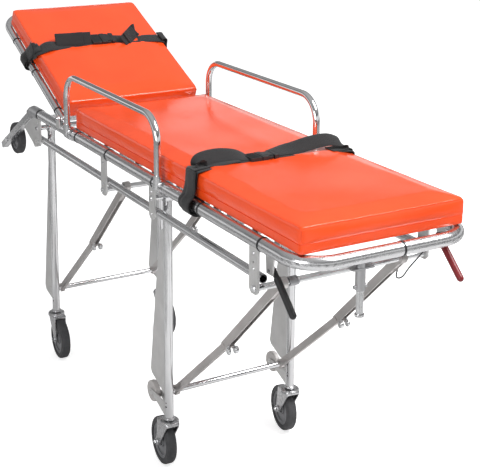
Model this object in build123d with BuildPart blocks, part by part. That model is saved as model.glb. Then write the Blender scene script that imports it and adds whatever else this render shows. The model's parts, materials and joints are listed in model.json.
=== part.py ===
from build123d import *
from math import cos, radians, sin
import os

# Wheeled ambulance stretcher. +X runs to the foot end, +Y to the patient's left, +Z up.
# The origin is on the floor, midway along the stretcher. Lengths are millimetres.
# "Near" is the -Y side and "far" the +Y side.
# Heights below are measured from a level 25 mm over the floor, and save() lifts every
# sub-part by that much, so that the floor is at zero in the files.

os.makedirs("parts", exist_ok=True)

# ---------------------------------------------------------------- driving dimensions
FLOOR_Z = -25.0            # the floor, in this file's heights
WELD_GAP = 0.02            # room between two pieces that are welded or pressed together
RUN_GAP = 0.06             # radial clearance of a turning fit

RAIL_Y = 259.0             # main side tubes
RAIL_Z = 917.0
RAIL_R = 19.0
RAIL_WALL = 2.0
HEAD_X = -686.0            # where the main tubes meet the cast knees
FOOT_X = 1102.0            # middle of the foot bow's tube
BOW_R = 95.0
BOW_START = 985.0

LOWER_Y = 256.0            # thin rails under the main tubes
LOWER_Z = 824.0
LOWER_R = 12.5
LOWER_WALL = 1.8
LOWER_HEAD_X = -714.0

LEG_Y = 222.0
LEG_R = 14.0
LEG_WALL = 2.0
LEG_X = {"head": -681.0, "mid": 292.0}
LEG_PIVOT_Z = 870.0
LEG_BOTTOM_Z = 142.0
LEG_HUB_R = 18.0
SHAFT_R = 9.0
SHAFT_END_Y = 281.0

BRACE_FOOT = (-10.0, 230.0)    # lower brace pivot, X from the leg's axis and height
BRACE_KNEE = (310.0, 507.0)    # where the two brace links meet
BRACE_HEAD = (605.0, 797.0)    # upper brace pivot
BRACE_Y = 192.0
LINK_WIDTH = 26.0
LINK_THICK = 11.6
CHEEK_THICK = 3.5
CHEEK_GAP = 13.0

PAD_Z = 953.0
PAD_THICK = 59.0
PAD_HALF = 255.0
PAD_HEAD_X = -361.0
PAD_FOOT_X = 1077.0

BACK_X = -464.0            # backrest hinge
BACK_Z = 951.0
BACK_ANGLE = 24.0
BACK_LENGTH = 675.0
BACK_R = 14.0
BACK_WALL = 1.8
BACK_BEND = 90.0
BACK_PAD_LOW = 24.0
BACK_PAD_SPAN = (-18.0, 607.0)
HINGE_PIN_R = 5.0

GUARD_X = (-377.0, 337.0)  # posts of the folding side guards
GUARD_Y = 276.0
GUARD_Z = 1125.0
GUARD_R = 11.0
GUARD_WALL = 1.8
GUARD_BEND = 80.0
SLEEVE_R = 24.0
SLEEVE_LENGTH = 50.0

WHEEL_R = 75.0
WHEEL_WIDTH = 32.0
HUB_R = 56.0
AXLE_R = 5.0
AXLE_Z = FLOOR_Z + WHEEL_R
TRAIL = 45.0               # a caster's wheel axle behind its swivel
CROWN_LOW = 127.5
CROWN_Z = 139.5
CASTER_YAW = {"head_near": -3.0, "head_far": -3.0, "mid_near": 176.0, "mid_far": 173.0}

ARM_KNEE = (-757.0, 917.0)     # loading arm, from its knee to its tip
ARM_TIP = (-1114.0, 706.0)
ARM_HALF = 13.0
KNEE_R = 20.5
LOADER_X = -1050.0
LOADER_Y = 226.0
LOADER_WIDTH = 30.0
LOADER_R = 62.5
LOADER_HUB_R = 44.5

STRAP_WIDTH = 50.0
STRAP_THICK = 3.0
LAP_STRAP_X = 527.0
CHEST_STRAP_E = 335.0

# Brake and leg release levers under the foot end: X and height of each one's pivot.
LEVER_PIVOT = {"near": (922.0, 848.0), "far": (998.0, 885.0)}
LEVER_Y = 234.0
LEVER_TILT = 43.0
LEVER_REACH = 130.0
GRIP_R = 9.5
LEVER_PIN_R = 4.0

PEG_X = 1097.0             # locking peg for the vehicle's floor plate
PEG_Y = -90.0
PEG_TIP_Z = 758.0
PEG_R = 9.5

SIDES = {"near": -1, "far": 1}
CENTRED = (Align.CENTER, Align.CENTER, Align.MIN)


# ---------------------------------------------------------------- shared shapes
def save(builder, name):
    """Label a finished sub-part and write it as a STEP file."""
    standing = builder.part.moved(Location((0, 0, -FLOOR_Z)))
    standing.label = name
    export_step(standing, f"parts/{name}.step")


def rod(start, end, radius, mode=Mode.ADD):
    """A round bar between two points."""
    run = Vector(*end) - Vector(*start)
    with Locations(Plane(origin=start, z_dir=run).location):
        Cylinder(radius, run.length, align=CENTRED, mode=mode)


def pipe(start, end, radius, wall):
    """A round tube between two points."""
    rod(start, end, radius)
    rod(start, end, radius - wall, mode=Mode.SUBTRACT)


def block(low, high, mode=Mode.ADD):
    """A square-cornered block between two opposite corners."""
    size = [b - a for a, b in zip(low, high)]
    with Locations(tuple((a + b) / 2 for a, b in zip(low, high))):
        Box(*size, mode=mode)


def plate(points, y, thickness, mode=Mode.ADD):
    """A flat plate that stands along X and Z, centred on y."""
    with BuildSketch(Plane.XZ.offset(-y), mode=Mode.PRIVATE) as outline:
        Polygon(*points, align=None)
    extrude(outline.sketch, amount=thickness / 2, both=True, mode=mode)


def strip(first, last, width, y, thickness, mode=Mode.ADD):
    """A round-ended flat bar between two points of the X-Z plane."""
    run = Vector(*last) - Vector(*first)
    middle = (Vector(*first) + Vector(*last)) / 2
    with BuildSketch(Plane.XZ.offset(-y), mode=Mode.PRIVATE) as outline:
        with Locations(Location((middle.X, middle.Y), run.get_angle(Vector(1, 0, 0)) * (1 if run.Y > 0 else -1))):
            SlotCenterToCenter(run.length, width)
    extrude(outline.sketch, amount=thickness / 2, both=True, mode=mode)


def cross_rod(x, z, low_y, high_y, radius, mode=Mode.ADD):
    """A round bar that lies across the stretcher."""
    rod((x, low_y, z), (x, high_y, z), radius, mode=mode)


def bent_tube(path, radius, wall):
    """Sweep a round tube along a path that starts square to its first run."""
    with BuildSketch(Plane(origin=path @ 0, z_dir=path % 0), mode=Mode.PRIVATE) as section:
        Circle(radius)
        Circle(radius - wall, mode=Mode.SUBTRACT)
    sweep(section.sketch, path=path)


def on_back(along, y, above):
    """A point of the backrest: distance from the hinge, side, and height over its tubes."""
    tilt = radians(BACK_ANGLE)
    return (BACK_X - along * cos(tilt) + above * sin(tilt), y, BACK_Z + along * sin(tilt) + above * cos(tilt))


def back_plane(above):
    """The backrest's own plane: local X runs from the hinge to the head."""
    tilt = radians(BACK_ANGLE)
    return Plane(origin=on_back(0, 0, above), x_dir=(-cos(tilt), 0, sin(tilt)), z_dir=(sin(tilt), 0, cos(tilt)))


def back_slab(along, half_width, low, high, mode=Mode.ADD):
    """A flat slab on the backrest, from along[0] to along[1]."""
    with BuildSketch(back_plane(low), mode=Mode.PRIVATE) as outline:
        with Locations(((along[0] + along[1]) / 2, 0)):
            Rectangle(along[1] - along[0], 2 * half_width)
    extrude(outline.sketch, amount=high - low, mode=mode)


def clear_rails(radius):
    """Cut the two main tubes' space, at a given radius, out of the open sub-part."""
    for side in SIDES.values():
        rod((HEAD_X, side * RAIL_Y, RAIL_Z), (BOW_START, side * RAIL_Y, RAIL_Z), radius, mode=Mode.SUBTRACT)


# ---------------------------------------------------------------- deck frame
for side_name, side in SIDES.items():
    with BuildPart() as main_rail:
        pipe((HEAD_X, side * RAIL_Y, RAIL_Z), (BOW_START, side * RAIL_Y, RAIL_Z), RAIL_R, RAIL_WALL)
    save(main_rail, f"main_rail_{side_name}")

with BuildPart() as foot_bow:
    with BuildLine(Plane.XY.offset(RAIL_Z), mode=Mode.PRIVATE) as bow_path:
        FilletPolyline(
            (BOW_START, -RAIL_Y), (FOOT_X, -RAIL_Y), (FOOT_X, RAIL_Y), (BOW_START, RAIL_Y), radius=BOW_R
        )
    bent_tube(bow_path.line, RAIL_R, RAIL_WALL)
save(foot_bow, "foot_bow")

# Black rings mark the joints of the main tubes.
RING_X = (-682.0, -310.0, -54.0, 292.0, 586.0, 912.0)
RING_WIDTH = 5.0
RING_PROUD = 1.4
BOW_RING_Y = 28.0
with BuildPart() as tube_rings:
    for side in SIDES.values():
        for x in RING_X:
            start = (x - RING_WIDTH / 2, side * RAIL_Y, RAIL_Z)
            end = (x + RING_WIDTH / 2, side * RAIL_Y, RAIL_Z)
            rod(start, end, RAIL_R + RING_PROUD)
            rod(start, end, RAIL_R + WELD_GAP, mode=Mode.SUBTRACT)
    cross_rod(FOOT_X, RAIL_Z, BOW_RING_Y, BOW_RING_Y + RING_WIDTH, RAIL_R + RING_PROUD)
    cross_rod(FOOT_X, RAIL_Z, BOW_RING_Y, BOW_RING_Y + RING_WIDTH, RAIL_R + WELD_GAP, mode=Mode.SUBTRACT)
save(tube_rings, "tube_rings")


def clear_rings():
    """Cut the room of the black rings out of the open sub-part."""
    for side in SIDES.values():
        for x in RING_X:
            start = (x - RING_WIDTH / 2, side * RAIL_Y, RAIL_Z)
            end = (x + RING_WIDTH / 2, side * RAIL_Y, RAIL_Z)
            rod(start, end, RAIL_R + RING_PROUD + 0.1, mode=Mode.SUBTRACT)


SHAFTS = []
for leg_x in LEG_X.values():
    SHAFTS.append((leg_x, LEG_PIVOT_Z))
    SHAFTS.append((leg_x + BRACE_HEAD[0], BRACE_HEAD[1]))

with BuildPart() as lower_rails:
    lower_foot_x = LEG_X["mid"] + BRACE_HEAD[0] + 12
    for side in SIDES.values():
        pipe(
            (LOWER_HEAD_X, side * LOWER_Y, LOWER_Z), (lower_foot_x, side * LOWER_Y, LOWER_Z),
            LOWER_R, LOWER_WALL,
        )
save(lower_rails, "lower_rails")

# Flat hangers carry the lower rails and the cross shafts from the main tubes.
HANGERS = ((-678.0, 40.0, 804.0), (-72.0, 40.0, 780.0), (290.0, 36.0, 804.0), (890.0, 44.0, 780.0))
HANGER_THICK = 6.0
HANGER_Y = LOWER_Y + LOWER_R + HANGER_THICK / 2 + 0.1
with BuildPart() as hangers:
    for side in SIDES.values():
        for x, width, bottom in HANGERS:
            half = width / 2
            corner = 10.0
            outline = [
                (x - half, RAIL_Z), (x - half, bottom + corner), (x - half + corner, bottom),
                (x + half - corner, bottom), (x + half, bottom + corner), (x + half, RAIL_Z),
            ]
            plate(outline, side * HANGER_Y, HANGER_THICK)
    for x, z in SHAFTS:
        cross_rod(x, z, -SHAFT_END_Y, SHAFT_END_Y, SHAFT_R + WELD_GAP, mode=Mode.SUBTRACT)
    cross_rod(HANGERS[-1][0], 866.0, -SHAFT_END_Y, SHAFT_END_Y, 3.5, mode=Mode.SUBTRACT)
    clear_rails(RAIL_R + WELD_GAP)
    for side in SIDES.values():
        rod((HEAD_X, side * RAIL_Y, RAIL_Z), (ARM_KNEE[0], side * RAIL_Y, RAIL_Z), KNEE_R + 0.1, mode=Mode.SUBTRACT)
    clear_rings()
save(hangers, "hangers")

SPRING_TURNS = 9
SPRING_R = 11.6
SPRING_WIRE_R = 1.5
with BuildPart() as release_spring:
    spring_x = LEG_X["mid"] + BRACE_HEAD[0]
    for turn in range(SPRING_TURNS):
        spring_y = -174.0 + turn * (2 * SPRING_WIRE_R + 0.4)
        with Locations(Plane(origin=(spring_x, spring_y, BRACE_HEAD[1]), z_dir=(0, 1, 0)).location):
            Torus(SPRING_R, SPRING_WIRE_R)
save(release_spring, "release_spring")

MEMBER_X = (-330.0, 20.0, 420.0, 720.0, 965.0)
MEMBER_WIDTH = 25.0
DECK_LOW = 947.0
DECK_THICK = 2.5
CLIP_X = (-250.0, -110.0, 130.0, 250.0, 560.0, 640.0, 850.0)
with BuildPart() as cross_members:
    for x in MEMBER_X:
        block((x - MEMBER_WIDTH / 2, -RAIL_Y, RAIL_Z - 8), (x + MEMBER_WIDTH / 2, RAIL_Y, DECK_LOW))
    block((-640.0, -RAIL_Y, RAIL_Z - 16), (-612.0, RAIL_Y, RAIL_Z + 8))
    for side in SIDES.values():
        outboard = sorted((side * (RAIL_Y - 8), side * (RAIL_Y + 8)))
        block((-700.0, outboard[0], RAIL_Z - 30), (1000.0, outboard[1], DECK_LOW + 1), mode=Mode.SUBTRACT)
        across = sorted((side * 229.0, side * 247.0))
        for x in CLIP_X:
            block((x - 14, across[0], RAIL_Z + 10), (x + 14, across[1], DECK_LOW))
    clear_rails(RAIL_R + WELD_GAP)
save(cross_members, "cross_members")

with BuildPart() as deck_sheet:
    block((PAD_HEAD_X + 4, -228.0, DECK_LOW), (PAD_FOOT_X - 12, 228.0, DECK_LOW + DECK_THICK))
save(deck_sheet, "deck_sheet")

# A thin control cable droops from the far release lever to the foot cross shaft.
CABLE_R = 2.0
with BuildPart() as release_cable:
    with BuildLine(mode=Mode.PRIVATE) as cable_path:
        Spline(
            (985, 224, 866), (945, 214, 812), (905, 205, 758), (880, 205, 731), (863, 205, 726), (866, 205, 752),
            (884, 205, 780),
        )
    with BuildSketch(Plane(origin=cable_path.line @ 0, z_dir=cable_path.line % 0), mode=Mode.PRIVATE) as cable_section:
        Circle(CABLE_R)
    sweep(cable_section.sketch, path=cable_path.line)
save(release_cable, "release_cable")

# ---------------------------------------------------------------- loading end
arm_run = Vector(ARM_TIP[0] - ARM_KNEE[0], 0, ARM_TIP[1] - ARM_KNEE[1])
arm_dir = arm_run.normalized()
LOADER_Z = ARM_KNEE[1] + (LOADER_X - ARM_KNEE[0]) * (ARM_TIP[1] - ARM_KNEE[1]) / (ARM_TIP[0] - ARM_KNEE[0])
SOCKET_REACH = 34.0

with BuildPart() as head_knees:
    for side in SIDES.values():
        y = side * RAIL_Y
        rod((HEAD_X, y, RAIL_Z), (ARM_KNEE[0], y, RAIL_Z), KNEE_R)
        with Locations((ARM_KNEE[0], y, RAIL_Z)):
            Sphere(KNEE_R)
        socket = Plane(origin=(ARM_KNEE[0], y, RAIL_Z), x_dir=(0, 1, 0), z_dir=arm_dir)
        with BuildSketch(socket):
            RectangleRounded(2 * ARM_HALF + 9, 2 * ARM_HALF + 9, 5)
        extrude(amount=SOCKET_REACH)
save(head_knees, "head_knees")

with BuildPart() as loading_arms:
    for side in SIDES.values():
        start = Vector(ARM_KNEE[0], side * RAIL_Y, RAIL_Z) + arm_dir * SOCKET_REACH
        with BuildSketch(Plane(origin=start, x_dir=(0, 1, 0), z_dir=arm_dir)):
            RectangleRounded(2 * ARM_HALF, 2 * ARM_HALF, 3.5)
        extrude(amount=arm_run.length - SOCKET_REACH)
    cross_rod(LOADER_X, LOADER_Z, -RAIL_Y - 30, RAIL_Y + 30, AXLE_R + WELD_GAP, mode=Mode.SUBTRACT)
save(loading_arms, "loading_arms")

GUSSET_THICK = 6.0
GUSSET_EYE = (-744.0, 806.0)
GUSSET_EYE_R = 23.0
with BuildPart() as arm_gussets:
    for side in SIDES.values():
        y = side * RAIL_Y
        plate([(-800, 900), (-890, 845), (-760, 788), (-722, 800), (-716, 872), (-740, 905)], y, GUSSET_THICK)
        cross_rod(GUSSET_EYE[0], GUSSET_EYE[1], y - 5, y + 5, GUSSET_EYE_R)
        cross_rod(GUSSET_EYE[0], GUSSET_EYE[1], y - 9, y + 9, 9.0)
        start = Vector(ARM_KNEE[0], y, RAIL_Z) - arm_dir * 40
        with BuildSketch(Plane(origin=start, x_dir=(0, 1, 0), z_dir=arm_dir)):
            Rectangle(60, 2 * ARM_HALF + 9.1)
        extrude(amount=arm_run.length, mode=Mode.SUBTRACT)
        rod((HEAD_X, y, RAIL_Z), (ARM_KNEE[0] - 30, y, RAIL_Z), KNEE_R + 0.1, mode=Mode.SUBTRACT)
save(arm_gussets, "arm_gussets")


# ---------------------------------------------------------------- wheels
def wheel_plane(centre, yaw):
    """A plane through a wheel's middle, with its normal along the axle."""
    turn = radians(yaw)
    return Plane(origin=centre, x_dir=(cos(turn), sin(turn), 0), z_dir=(sin(turn), -cos(turn), 0))


def disc(plane, radius, width, mode=Mode.ADD):
    """A round disc centred on a plane."""
    with Locations(plane.location):
        Cylinder(radius, width, mode=mode)


def make_wheel(name, centre, yaw, width, radius, hub_radius):
    """Tyre and hub of one wheel, as two sub-parts."""
    plane = wheel_plane(centre, yaw)
    with BuildPart() as tyre:
        disc(plane, radius, width)
        fillet(tyre.edges().filter_by(GeomType.CIRCLE), 8.0)
        disc(plane, hub_radius + WELD_GAP, width, mode=Mode.SUBTRACT)
    save(tyre, f"tyre_{name}")
    with BuildPart() as hub:
        disc(plane, hub_radius, width - 6)
        for face in (-1, 1):
            recess = plane.offset(face * (width / 2 - 5))
            with Locations(recess.location):
                Cylinder(hub_radius - 6, 6.0, mode=Mode.SUBTRACT)
        disc(plane, 12.0, width - 2)
        disc(plane, AXLE_R + RUN_GAP, width, mode=Mode.SUBTRACT)
    save(hub, f"hub_{name}")


for side_name, side in SIDES.items():
    centre = (LOADER_X, side * LOADER_Y, LOADER_Z)
    make_wheel(f"loader_{side_name}", centre, 0.0, LOADER_WIDTH, LOADER_R, LOADER_HUB_R)

FORK_GAP = 19.0            # half the width between a fork's cheeks
FORK_SHEET = 3.0
HOOD_LENGTH = 74.0         # the fork's top, along its trail
HOOD_MIDDLE = 8.0
CUP_R = 27.5
STEM_R = 8.0


def make_fork(name, x, y, yaw):
    """Swivel fork: two cheeks, a crown with its bearing cup, and the wheel's axle."""
    middle = wheel_plane((x, y, 0), yaw)
    with BuildPart() as fork:
        for cheek in (-1, 1):
            face = middle.offset(cheek * (FORK_GAP + FORK_SHEET / 2))
            with BuildSketch(face, mode=Mode.PRIVATE) as outline:
                with Locations((TRAIL, AXLE_Z)):
                    Circle(13.0)
                with Locations((HOOD_MIDDLE, CROWN_LOW + 2.0)):
                    Rectangle(HOOD_LENGTH, 6.0)
                make_hull()
            extrude(outline.sketch, amount=FORK_SHEET / 2, both=True)
        crown = Plane(origin=(x, y, CROWN_LOW), x_dir=middle.x_dir, z_dir=(0, 0, 1))
        with BuildSketch(crown):
            with Locations((HOOD_MIDDLE, 0)):
                RectangleRounded(HOOD_LENGTH, 2 * (FORK_GAP + FORK_SHEET) + 6, 8.0)
        extrude(amount=5.0)
        with Locations((x, y, CROWN_LOW + 4.0)):
            Cylinder(CUP_R, CROWN_Z - CROWN_LOW - 4.0, align=CENTRED)
        fillet(fork.edges().filter_by(GeomType.CIRCLE).sort_by(Axis.Z)[-1], 3.0)
        with Locations((x, y, CROWN_LOW - 15.0)):
            Cylinder(STEM_R + RUN_GAP, 60.0, align=CENTRED, mode=Mode.SUBTRACT)
        axle = middle.shift_origin(middle.from_local_coords((TRAIL, AXLE_Z, 0)))
        disc(axle, AXLE_R, 2 * (FORK_GAP + FORK_SHEET))
        for cheek in (-1, 1):
            disc(axle.offset(cheek * (FORK_GAP + FORK_SHEET + 1.5)), 8.5, 3.0)
    save(fork, f"fork_{name}")


for caster_name, yaw in CASTER_YAW.items():
    pair_name, side_name = caster_name.split("_")
    leg_x = LEG_X[pair_name]
    leg_y = SIDES[side_name] * LEG_Y
    turn = radians(yaw)
    make_fork(caster_name, leg_x, leg_y, yaw)
    centre = (leg_x + TRAIL * cos(turn), leg_y + TRAIL * sin(turn), AXLE_Z)
    make_wheel(caster_name, centre, yaw, WHEEL_WIDTH, WHEEL_R, HUB_R)


# ---------------------------------------------------------------- folding leg pairs
FIN_THICK = 3.0
FINS = {
    "head": [(-12, 760), (-34, 740), (-110, 215), (-100, 196), (-12, 176)],
    "mid": [(-12, 770), (-52, 745), (-84, 560), (-128, 262), (-121, 250), (-12, 206)],
}
ROLLER_AT = (-108.0, 192.0)
ROLLER_R = 34.0
ROLLER_WIDTH = 18.0


def clear_legs(x, radius):
    """Cut one leg pair's tubes, at a given radius, out of the open sub-part."""
    for side in SIDES.values():
        rod((x, side * LEG_Y, LEG_BOTTOM_Z - 30), (x, side * LEG_Y, LEG_PIVOT_Z + 30), radius, mode=Mode.SUBTRACT)


for pair_name, x in LEG_X.items():
    with BuildPart() as legs:
        for side in SIDES.values():
            y = side * LEG_Y
            pipe((x, y, LEG_BOTTOM_Z), (x, y, LEG_PIVOT_Z), LEG_R, LEG_WALL)
            rod((x, y, LEG_BOTTOM_Z), (x, y, LEG_BOTTOM_Z + 30), LEG_R)
            rod((x, y, LEG_BOTTOM_Z), (x, y, CROWN_Z - 11), STEM_R)
            cross_rod(x, LEG_PIVOT_Z, y - LEG_R, y + LEG_R, LEG_HUB_R)
        cross_rod(x, LEG_PIVOT_Z, -LEG_Y - 20, LEG_Y + 20, SHAFT_R + RUN_GAP, mode=Mode.SUBTRACT)
        bar_x = x + BRACE_FOOT[0]
        bar_end = LEG_Y - LEG_R - 0.3
        cross_rod(bar_x, BRACE_FOOT[1], -bar_end, bar_end, SHAFT_R)
    save(legs, f"{pair_name}_legs")

    with BuildPart() as fins:
        for side in SIDES.values():
            plate([(x + px, pz) for px, pz in FINS[pair_name]], side * LEG_Y, FIN_THICK)
        cross_rod(x - 55, 222.0, -LEG_Y - 9, LEG_Y + 9, 4.0, mode=Mode.SUBTRACT)
        clear_legs(x, LEG_R + WELD_GAP)
    save(fins, f"{pair_name}_fins")

with BuildPart() as roller_brackets:
    mid_x = LEG_X["mid"]
    for side in SIDES.values():
        for cheek in (-1, 1):
            y = side * LEG_Y + cheek * (ROLLER_WIDTH / 2 + 2.5)
            centre_x = mid_x + ROLLER_AT[0]
            plate([(centre_x - 9, 198), (centre_x + 6, 203), (mid_x - 6, 200), (mid_x - 6, 154)], y, 2.5)
            cross_rod(centre_x, ROLLER_AT[1], y - 1.25, y + 1.25, 11.0)
        cross_rod(mid_x + ROLLER_AT[0], ROLLER_AT[1], side * LEG_Y - 15, side * LEG_Y + 15, AXLE_R)
    clear_legs(mid_x, LEG_R + WELD_GAP)
save(roller_brackets, "roller_brackets")

for side_name, side in SIDES.items():
    with BuildPart() as roller:
        roller_plane = wheel_plane((LEG_X["mid"] + ROLLER_AT[0], side * LEG_Y, ROLLER_AT[1]), 0.0)
        disc(roller_plane, ROLLER_R, ROLLER_WIDTH)
        fillet(roller.edges().filter_by(GeomType.CIRCLE), 3.0)
        disc(roller_plane, AXLE_R + RUN_GAP, ROLLER_WIDTH, mode=Mode.SUBTRACT)
    save(roller, f"leg_roller_{side_name}")

# ---------------------------------------------------------------- folding braces
EYE_R = 16.0
KNOB_R = 11.0
KNOB_INNER = CHEEK_GAP / 2
KNOB_REACH = {-1: 19.0, 1: 15.4}      # towards the middle, and towards the leg's tube
KNOB_AT = (24.0, 24.5)     # past the knee along the lower link, and below it
for pair_name, leg_x in LEG_X.items():
    foot = (leg_x + BRACE_FOOT[0], BRACE_FOOT[1])
    knee = (leg_x + BRACE_KNEE[0], BRACE_KNEE[1])
    head = (leg_x + BRACE_HEAD[0], BRACE_HEAD[1])
    with BuildPart() as lower_links:
        for side in SIDES.values():
            y = side * BRACE_Y
            strip(foot, knee, LINK_WIDTH - 4, y, LINK_THICK)
            cross_rod(*foot, y - LINK_THICK / 2, y + LINK_THICK / 2, EYE_R)
            cross_rod(*foot, y - LINK_THICK, y + LINK_THICK, SHAFT_R + RUN_GAP, mode=Mode.SUBTRACT)
    save(lower_links, f"{pair_name}_lower_links")

    # Round lock knobs hang in pairs on the upper link's cheeks, just past the knee.
    with BuildPart() as lock_knobs:
        link_run = (Vector(*knee) - Vector(*foot)).normalized()
        below = Vector(link_run.Y, -link_run.X)
        knob = Vector(*knee) + link_run * KNOB_AT[0] + below * KNOB_AT[1]
        upper_run = (Vector(*head) - Vector(*knee)).normalized()
        outward = Vector(upper_run.Y, -upper_run.X)
        reach = (knob - Vector(*knee)).dot(outward)
        root = knob - outward * (reach - LINK_WIDTH / 2 - WELD_GAP)
        lug = [
            root - upper_run * 9, root + upper_run * 9, knob + upper_run * 6, knob - upper_run * 6,
        ]
        for side in SIDES.values():
            for cheek in (-1, 1):
                inner = side * (BRACE_Y + cheek * KNOB_INNER)
                outer = side * (BRACE_Y + cheek * KNOB_REACH[cheek])
                cross_rod(knob.X, knob.Y, *sorted((inner, outer)), KNOB_R)
        fillet(lock_knobs.edges().filter_by(GeomType.CIRCLE), 3.5)
        for side in SIDES.values():
            for cheek in (-1, 1):
                y = side * BRACE_Y + cheek * (CHEEK_GAP + CHEEK_THICK) / 2
                plate([(corner.X, corner.Y) for corner in lug], y, CHEEK_THICK)
    save(lock_knobs, f"{pair_name}_lock_knobs")

    with BuildPart() as upper_links:
        ferrule = Vector(*head) + (Vector(*knee) - Vector(*head)).normalized() * 78
        for side in SIDES.values():
            for cheek in (-1, 1):
                y = side * BRACE_Y + cheek * (CHEEK_GAP + CHEEK_THICK) / 2
                strip(head, knee, LINK_WIDTH, y, CHEEK_THICK)
                cross_rod(*head, y - CHEEK_THICK / 2, y + CHEEK_THICK / 2, EYE_R)
                cross_rod(*knee, y - CHEEK_THICK / 2 - 1.5, y + CHEEK_THICK / 2, 7.0)
            middle = side * BRACE_Y
            cross_rod(*head, middle - CHEEK_GAP / 2, middle + CHEEK_GAP / 2, EYE_R)
            strip((ferrule.X, ferrule.Y), head, LINK_WIDTH - 4, middle, CHEEK_GAP)
            cross_rod(*head, middle - 14, middle + 14, SHAFT_R + RUN_GAP, mode=Mode.SUBTRACT)
            block(
                (knee[0] - 30, middle - CHEEK_GAP / 2, knee[1] - 30),
                (knee[0] + 30, middle + CHEEK_GAP / 2, knee[1] + 30), mode=Mode.SUBTRACT,
            )
    save(upper_links, f"{pair_name}_upper_links")

# ---------------------------------------------------------------- folding side guards
for side_name, side in SIDES.items():
    with BuildPart() as guard:
        with BuildLine(Plane.XZ.offset(-side * GUARD_Y), mode=Mode.PRIVATE) as guard_path:
            FilletPolyline(
                (GUARD_X[0], RAIL_Z), (GUARD_X[0], GUARD_Z), (GUARD_X[1], GUARD_Z), (GUARD_X[1], RAIL_Z),
                radius=GUARD_BEND,
            )
        bent_tube(guard_path.line, GUARD_R, GUARD_WALL)
        for x in GUARD_X:
            half = SLEEVE_LENGTH / 2
            rod((x - half, side * RAIL_Y, RAIL_Z), (x + half, side * RAIL_Y, RAIL_Z), SLEEVE_R)
            rod((x, side * GUARD_Y, RAIL_Z - 4), (x, side * GUARD_Y, RAIL_Z + 36), GUARD_R + 3)
        clear_rails(RAIL_R + RUN_GAP)
    save(guard, f"side_guard_{side_name}")

# ---------------------------------------------------------------- hinge brackets and pins
with BuildPart() as hinge_brackets:
    for side in SIDES.values():
        for ear in (-1, 1):
            y = side * RAIL_Y + ear * 17.4
            plate([(BACK_X - 17, RAIL_Z), (BACK_X + 17, RAIL_Z), (BACK_X + 13, BACK_Z), (BACK_X - 13, BACK_Z)], y, 3.6)
            cross_rod(BACK_X, BACK_Z, y - 1.8, y + 1.8, 13.0)
    for side_name, (x, z) in LEVER_PIVOT.items():
        y = SIDES[side_name] * (LEVER_Y + 10)
        plate([(x - 23, RAIL_Z), (x + 23, RAIL_Z), (x + 15, z - 10), (x - 15, z - 10)], y, 4.0)
        cross_rod(x, z, y - 4, y + 4, LEVER_PIN_R + WELD_GAP, mode=Mode.SUBTRACT)
    for y in (-RAIL_Y, RAIL_Y):
        cross_rod(BACK_X, BACK_Z, y - 30, y + 30, HINGE_PIN_R + WELD_GAP, mode=Mode.SUBTRACT)
    clear_rails(RAIL_R + WELD_GAP)
    bow_start = Plane(origin=bow_path.line @ 0, z_dir=bow_path.line % 0)
    with BuildSketch(bow_start, mode=Mode.PRIVATE) as bow_bore:
        Circle(RAIL_R + WELD_GAP)
    sweep(bow_bore.sketch, path=bow_path.line, mode=Mode.SUBTRACT)
    clear_rings()
save(hinge_brackets, "hinge_brackets")

with BuildPart() as shafts_and_pins:
    for x, z in SHAFTS:
        cross_rod(x, z, -SHAFT_END_Y, SHAFT_END_Y, SHAFT_R)
    chamfer(shafts_and_pins.edges().filter_by(GeomType.CIRCLE), 2.0)
    for side_name, side in SIDES.items():
        for start, end, radius in ((-22.0, 22.0, HINGE_PIN_R), (-25.0, -22.0, 8.0), (22.0, 25.0, 8.0)):
            cross_rod(BACK_X, BACK_Z, side * RAIL_Y + start, side * RAIL_Y + end, radius)
        lever_ends = sorted((side * (LEVER_Y - 10), side * (LEVER_Y + 13)))
        cross_rod(*LEVER_PIVOT[side_name], *lever_ends, LEVER_PIN_R)
        inner = side * (LOADER_Y - LOADER_WIDTH / 2 - 1)
        outer = side * (RAIL_Y + ARM_HALF + 1)
        cross_rod(LOADER_X, LOADER_Z, *sorted((inner, outer)), AXLE_R)
        cross_rod(LOADER_X, LOADER_Z, *sorted((inner, inner - side * 5)), 9.0)
        cross_rod(LOADER_X, LOADER_Z, *sorted((outer, outer + side * 5)), 9.0)
save(shafts_and_pins, "shafts_and_pins")

# ---------------------------------------------------------------- backrest
with BuildPart() as back_frame:
    with BuildLine(back_plane(0), mode=Mode.PRIVATE) as back_path:
        FilletPolyline(
            (0, -RAIL_Y), (BACK_LENGTH, -RAIL_Y), (BACK_LENGTH, RAIL_Y), (0, RAIL_Y), radius=BACK_BEND
        )
    bent_tube(back_path.line, BACK_R, BACK_WALL)
    for side in SIDES.values():
        with Locations((BACK_X, side * RAIL_Y, BACK_Z)):
            Sphere(BACK_R)
        cross_rod(
            BACK_X, BACK_Z, side * RAIL_Y - 20, side * RAIL_Y + 20, HINGE_PIN_R + RUN_GAP, mode=Mode.SUBTRACT
        )
save(back_frame, "back_frame")

BACK_RING_E = (44.0, 285.0, 500.0)
with BuildPart() as back_rings:
    for side in SIDES.values():
        for along in BACK_RING_E:
            start = on_back(along, side * RAIL_Y, 0)
            end = on_back(along + RING_WIDTH, side * RAIL_Y, 0)
            rod(start, end, BACK_R + RING_PROUD)
            rod(start, end, BACK_R + WELD_GAP, mode=Mode.SUBTRACT)
save(back_rings, "back_rings")

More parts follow.
